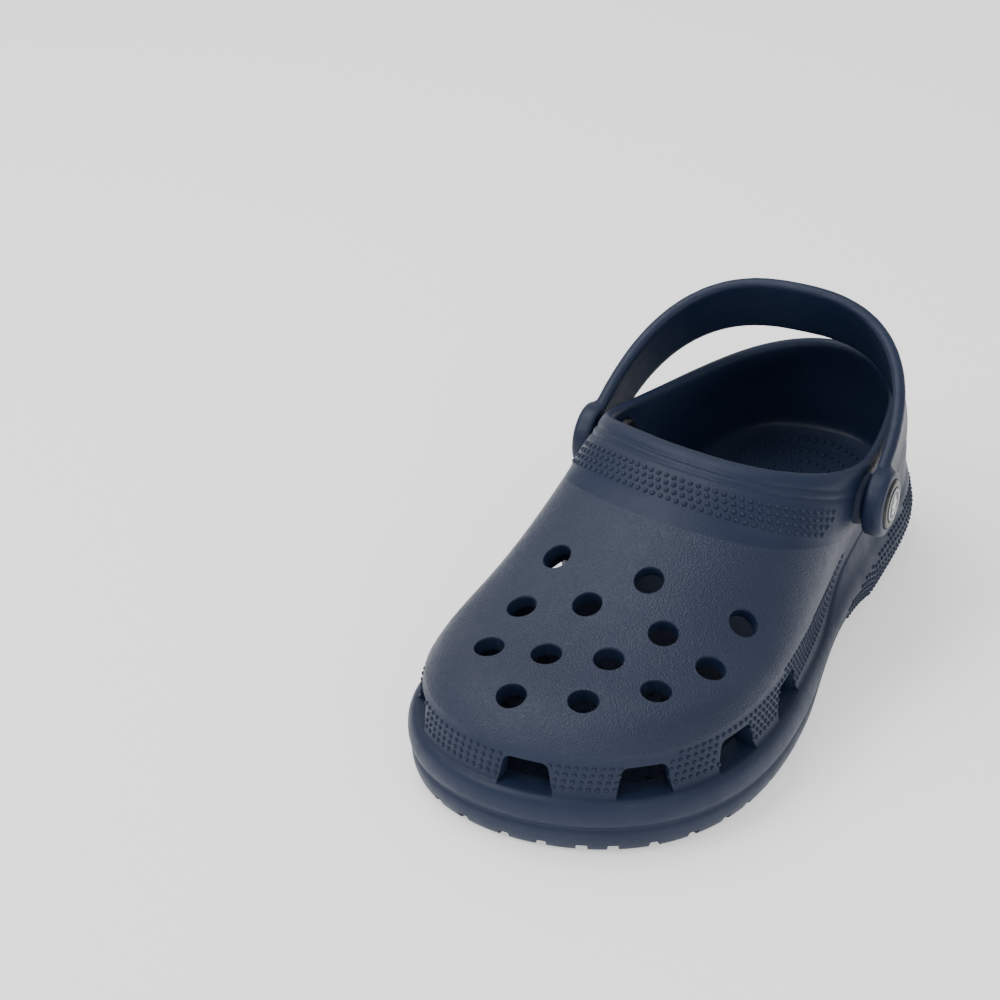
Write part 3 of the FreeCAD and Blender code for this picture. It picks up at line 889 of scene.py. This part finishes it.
def copies(name, model, places, finish, sink):
    """One piece from copies of a model at (point, normal) places, sunk into the foam by sink mm."""
    points = np.array([vertex.co for vertex in model.data.vertices])
    faces = [list(face.vertices) for face in model.data.polygons]
    stacked, all_faces = [], []
    for number, (point, normal) in enumerate(places):
        matrix = np.array(frame_at(Vector(point) - normal * sink * MM, normal, (0.31, 0.95, 0.05)))
        stacked.append(points @ matrix[:3, :3].T + matrix[:3, 3])
        all_faces += [[index + number * len(points) for index in face] for face in faces]
    mesh = bpy.data.meshes.new(name)
    mesh.from_pydata(np.concatenate(stacked).tolist(), [], all_faces)
    mesh.update()
    piece = bpy.data.objects.new(name, mesh)
    bpy.context.collection.objects.link(piece)
    bpy.data.objects.remove(model, do_unlink=True)
    take(piece)
    bpy.ops.object.shade_smooth()
    piece.data.materials.append(finish)
    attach(piece, "shell")
    print(name, len(places), "copies")


shell_skin = skin_tree(shell)


def stand(guess, reach):
    """Point and normal of the finished moulding at a guess, or None in a hole or over an edge."""
    point, normal, _, distance = shell_skin.find_nearest(Vector(guess))
    if point is None or distance > reach:
        return None
    return point, normal


def honeycomb(lower, upper, pitch, first, last, outwards, reach=1.3 * MM):
    """Places in staggered lines between two closed rows, for places from first to last round the clog."""
    found = []
    gap = np.linalg.norm(upper - lower, axis=1)
    spacing = pitch * math.sqrt(0.75)
    for line in range(int(gap.max() / spacing)):
        away = (line + 0.5) * spacing
        share = np.clip(away / gap, 0, 1)[:, None]
        row = lower + (upper - lower) * share
        steps = np.linalg.norm(np.roll(row, -1, 0) - row, axis=1)
        walk = np.concatenate([[0], np.cumsum(steps)])
        for number in range(int(walk[-1] / pitch)):
            distance = (number + 0.5 * (line % 2)) * pitch
            turn = np.interp(distance, walk, np.arange(STATIONS + 1))
            place = turn * PLACES / STATIONS
            low = int(turn) % STATIONS
            part = turn - int(turn)
            inside = (first <= place <= last) if first < last else (place >= first or place <= last)
            if not inside or away > gap[low] - pitch * 0.3:
                continue
            guess = row[low] * (1 - part) + row[(low + 1) % STATIONS] * part
            spot = stand(guess, reach)
            if spot and spot[1].dot(Vector(outwards(guess))) > 0.25:
                found.append(spot)
    return found


def from_middle(guess):
    """Rough outward direction of the toe, the sides or the heel."""
    return Vector((guess[0], guess[1] * 0.45, 0.02)).normalized()


def over_instep(guess):
    """Rough outward direction of the collar, the same at every place."""
    return Vector((0, -0.2, 1))


# %% Dotted bands
PITCH, COLLAR_PITCH, SINK = 3.1 * MM, 3.4 * MM, 0.1
band_foot, band_top = side_rows[ledge_row + 2], side_rows[lip_row - 1]
band_places = honeycomb(band_foot, band_top, PITCH, 4.75, 16.1, from_middle)
copies("band_dots", dome("dot", 1.0, 0.85), band_places, foam_smooth, SINK)

# The collar's dots end short of the strap, which swings past them.
collar_foot, collar_top = collar_rows[1], collar_rows[5]
collar_places = honeycomb(collar_foot, collar_top, COLLAR_PITCH, 6.05, 13.75, over_instep)
copies("collar_dots", dome("dot", 1.15, 0.85), collar_places, foam_smooth, SINK)

block_foot, block_edge = side_rows[3], side_rows[8]
heel_places = honeycomb(block_foot, block_edge, PITCH, 16.7, 4.5, from_middle, 3.5 * MM)
copies("heel_block_dots", dome("dot", 1.0, 0.85), heel_places, foam_smooth, SINK)

# %% Nubs of the footbed
NUB_PITCH = 3.7 * MM
HEEL_MIDDLE = Vector((-5 * MM, 97 * MM, 0))
leg = 52 * MM
heel_nubs = []
for radius in (8, 15, 22, 29):
    bend = math.pi * radius * MM
    for number in range(int((bend + 2 * leg) / NUB_PITCH) + 1):
        walk = number * NUB_PITCH
        if walk < leg:
            flat = Vector((radius * MM, walk - leg, 0))
        elif walk < leg + bend:
            angle = (walk - leg) / (radius * MM)
            flat = Vector((math.cos(angle), math.sin(angle) * 1.12, 0)) * radius * MM
        else:
            flat = Vector((-radius * MM, leg + bend - walk, 0))
        start = HEEL_MIDDLE + flat + Vector((0, 0, 45 * MM))
        point, normal, _, _ = shell_skin.ray_cast(start, DOWN)
        heel_nubs.append((point, normal))
toe_nubs = []
for line in range(14):
    for column in range(16):
        x, y = (-42 + 5.6 * (column + 0.5 * (line % 2))) * MM, (-126 + 5.2 * line) * MM
        point, normal, _, _ = shell_skin.ray_cast(Vector((x, y, 26 * MM)), DOWN)
        if point and point.z < 21 * MM and normal.z > 0.97:
            toe_nubs.append((point, normal))
copies("footbed_nubs", dome("nub", 1.2, 1.0, 8), heel_nubs + toe_nubs, foam_bed, SINK)

# %% [markdown]
# ## The heel strap
# The strap is a band of foam, bowed like a flattened half ring, with a thick round eye at each end. Its
# edges are soft everywhere. So the plain band and the two eyes are joined roughly first, then
# remeshed into one even net and smoothed, which rounds every edge and fills the neck of each eye as a
# mould would. The band is widest behind the heel, where its upper edge rises. The bores and the round
# seats for the rivet heads are cut last, so that they stay crisp.

# %% Strap sizes and path
STRAP_HALF, STRAP_REACH, STRAP_WIDTH, STRAP_THICK = 58.9 * MM, 82 * MM, 22 * MM, 5 * MM
STRAP_RAISE = math.radians(25)
BACK_RISE = 6 * MM
strap_frame = (
    Matrix.Translation(hinge)
    @ Matrix.Rotation(math.atan2(hinge_axis.y, hinge_axis.x), 4, "Z")
    @ Matrix.Rotation(STRAP_RAISE, 4, "X")
)
PATH_STEPS = 150
angles = np.linspace(0, math.pi, 400)
BOW_POWER = 2 / 2.6
bow = np.stack([
    np.sign(np.cos(angles)) * np.abs(np.cos(angles)) ** BOW_POWER * STRAP_HALF,
    np.sin(angles).clip(0) ** BOW_POWER * STRAP_REACH,
], 1)
walk = np.concatenate([[0], np.cumsum(np.linalg.norm(np.diff(bow, axis=0), axis=1))])
even = np.linspace(0, walk[-1], PATH_STEPS)
path = np.stack([np.interp(even, walk, bow[:, axis]) for axis in range(2)], 1)
direction = np.gradient(path, axis=0)
direction /= np.linalg.norm(direction, axis=1, keepdims=True)
path_out = np.stack([direction[:, 1], -direction[:, 0]], 1)
print("strap middle line", round(walk[-1] / MM), "mm")

# %% Strap body
# The section, as shares of half the width and half the thickness: a soft rectangle, a little hollow
# outside between two rails.
SECTION = [
    (-1.0, -0.3), (-0.97, -0.75), (-0.88, -1.0), (-0.5, -1.0), (0, -1.0), (0.5, -1.0), (0.88, -1.0),
    (0.97, -0.75), (1.0, -0.3), (1.0, 0.3), (0.97, 0.75), (0.87, 1.04), (0.68, 1.04), (0.5, 0.88),
    (0, 0.82), (-0.5, 0.88), (-0.68, 1.04), (-0.87, 1.04), (-0.97, 0.75), (-1.0, 0.3),
]
start_clean()
bpy.ops.mesh.primitive_circle_add(vertices=len(SECTION), radius=1, fill_type="NGON")
strap = bpy.context.object
strap.name = "heel_strap_moulding"
bpy.ops.object.mode_set(mode="EDIT")
bpy.ops.mesh.select_all(action="SELECT")
for _ in range(PATH_STEPS - 1):
    bpy.ops.mesh.extrude_region_move(TRANSFORM_OT_translate={"value": (0, 0, 0.001)})
bpy.ops.object.mode_set(mode="OBJECT")
for index, vertex in enumerate(strap.data.vertices):
    step, corner = divmod(index, len(SECTION))
    across, through = SECTION[corner]
    flat = path[step] + path_out[step] * through * STRAP_THICK / 2
    rise = BACK_RISE * math.sin(math.pi * step / (PATH_STEPS - 1)) ** 3
    vertex.co = (flat[0], flat[1], across * STRAP_WIDTH / 2 + rise * (across + 1) / 2)
take(strap)
bpy.ops.object.mode_set(mode="EDIT")
bpy.ops.mesh.select_all(action="SELECT")
bpy.ops.mesh.normals_make_consistent(inside=False)
bpy.ops.object.mode_set(mode="OBJECT")

EYE_PROFILE = [(56.5, 12.6), (57.2, 13.3), (58.5, 13.5), (62.4, 13.5), (63.7, 13.1), (64.4, 12.2), (64.5, 11)]
EYE_SEAT = [(50, 4.1), (62.7, 4.1), (62.8, 9.85), (64.1, 9.85), (64.6, 10.4), (68, 10.4)]
flat_frame = {"lateral": frame_at((0, 0, 0), (1, 0, 0)), "medial": frame_at((0, 0, 0), (-1, 0, 0))}
for side in OUTSIDE:
    combine(strap, "UNION", put(turned("eye", EYE_PROFILE, 64), flat_frame[side]))
apply(strap, "REMESH", mode="VOXEL", voxel_size=0.0008, use_smooth_shade=True)
apply(strap, "SMOOTH", factor=0.5, iterations=5)
for side in OUTSIDE:
    tool = turned("eye_tool", EYE_SEAT, 64)
    combine(strap, "DIFFERENCE", put(tool, flat_frame[side]))
put(strap, strap_frame)
strap.data.materials.clear()
strap.data.materials.append(foam_strap)
shade(strap, 40)
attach(strap, "strap")
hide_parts("heel_strap")
print("strap:", len(strap.data.polygons), "faces")

# %% [markdown]
# ## Rivets and emblems
# Each rivet is a black stud pushed in from outside and a cap snapped on its stem inside the shell. The
# stud's head has a shallow dish that takes a printed disc: black, with a pale ring and a plain sprig
# of leaves. The ring and the leaves stand a little proud, as thick print does.

# %% Studs and caps
STUD_PROFILE = [
    (44.9, 4.0), (62.9, 4.0), (63.1, 9.2), (63.4, 9.5), (64.9, 9.5), (65.35, 9.2), (65.5, 8.6),
    (65.5, 7.4), (65.25, 7.05), (65.0, 6.95),
]
CAP_PROFILE = [(44.9, 3.2), (44.9, 8.4), (45.2, 9.1), (45.8, 9.5), (47.6, 9.5), (47.9, 9.2)]
for side in OUTSIDE:
    stud = put(turned(side + "_stud", STUD_PROFILE, 64), rivet_frame[side])
    cap = put(turned(side + "_cap", CAP_PROFILE, 64), rivet_frame[side])
    for piece, node in ((stud, side + "_rivet_stud"), (cap, side + "_rivet_cap")):
        piece.data.materials.append(rivet_black)
        shade(piece, 35)
        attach(piece, side + "_rivet")
        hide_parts(node)
print("studs and caps turned")


# %% Emblems
def leaf(length, width, turn, start):
    """A pointed leaf, thick as print, from a grid that narrows to both ends; sizes in mm."""
    start_clean()
    bpy.ops.mesh.primitive_grid_add(x_subdivisions=10, y_subdivisions=4, size=2)
    piece = bpy.context.object
    for vertex in piece.data.vertices:
        along = (vertex.co.x + 1) / 2
        wide = width * (math.sin(math.pi * along**0.85) ** 0.9 if 0 < along < 1 else 0.0)
        ridge = 0.10 * (1 - abs(vertex.co.y)) * min(1, wide)
        vertex.co = (along * length * MM, vertex.co.y * (wide / 2 + 0.03) * MM, (0.16 + ridge) * MM)
    apply(piece, "SOLIDIFY", thickness=0.3 * MM, offset=-1)
    put(piece, Matrix.Rotation(math.radians(turn), 4, "Z"))
    return put(piece, Matrix.Translation((start[0] * MM, start[1] * MM, 0)))


EMBLEM_FACE = 65.75
# Each leaf as its length, width, direction in degrees and start.
LEAVES = [
    (4.6, 2.3, 90, (0, 0.2)), (3.9, 2.0, 38, (0, -0.9)), (3.9, 2.0, 142, (0, -0.9)),
    (3.1, 1.7, 18, (0, -2.9)), (3.1, 1.7, 162, (0, -2.9)),
]
DISC_PROFILE = [(65.02, 6.9), (65.6, 6.9), (65.75, 6.7), (65.78, 4.0), (65.8, 1.0)]
RING_PROFILE = [(65.6, 6.2), (65.86, 6.15), (65.86, 5.75), (65.6, 5.7)]


def hoop(name, profile, segments=64):
    """A ring whose section is closed, spun about +Z; (height, radius) in millimetres."""
    start_clean()
    bpy.ops.mesh.primitive_circle_add(vertices=len(profile), radius=1, fill_type="NOTHING")
    piece = bpy.context.object
    piece.name = name
    for vertex, (height, radius) in zip(piece.data.vertices, profile):
        vertex.co = (radius * MM, 0, height * MM)
    bpy.ops.object.mode_set(mode="EDIT")
    bpy.ops.mesh.select_all(action="SELECT")
    bpy.ops.mesh.spin(steps=segments, angle=math.tau, center=(0, 0, 0), axis=(0, 0, 1))
    bpy.ops.mesh.select_all(action="SELECT")
    bpy.ops.mesh.remove_doubles(threshold=0.000005)
    bpy.ops.mesh.normals_make_consistent(inside=False)
    bpy.ops.object.mode_set(mode="OBJECT")
    return piece


for side in OUTSIDE:
    disc = put(turned(side + "_disc", DISC_PROFILE, 64), rivet_frame[side])
    disc.data.materials.append(rivet_black)
    ring_piece = put(hoop("ring", RING_PROFILE), rivet_frame[side])
    # The sprig points up along the strap's end.
    lean = rivet_frame[side] @ Matrix.Translation((0, -0.2 * MM, EMBLEM_FACE * MM))
    sprig = [put(leaf(*shape), lean) for shape in LEAVES]
    stem = block("stem", (0.45, 6.2, 0.36), lean @ Matrix.Translation((0, -1.4 * MM, 0)), 0.1)
    print_piece = join([ring_piece, stem] + sprig, side + "_emblem_print")
    print_piece.data.materials.append(emblem_pale)
    for piece in (disc, print_piece):
        shade(piece, 35)
        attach(piece, side + "_rivet")
    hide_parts(side + "_rivet_emblem")
print("emblems with a ring and", len(LEAVES), "leaves")
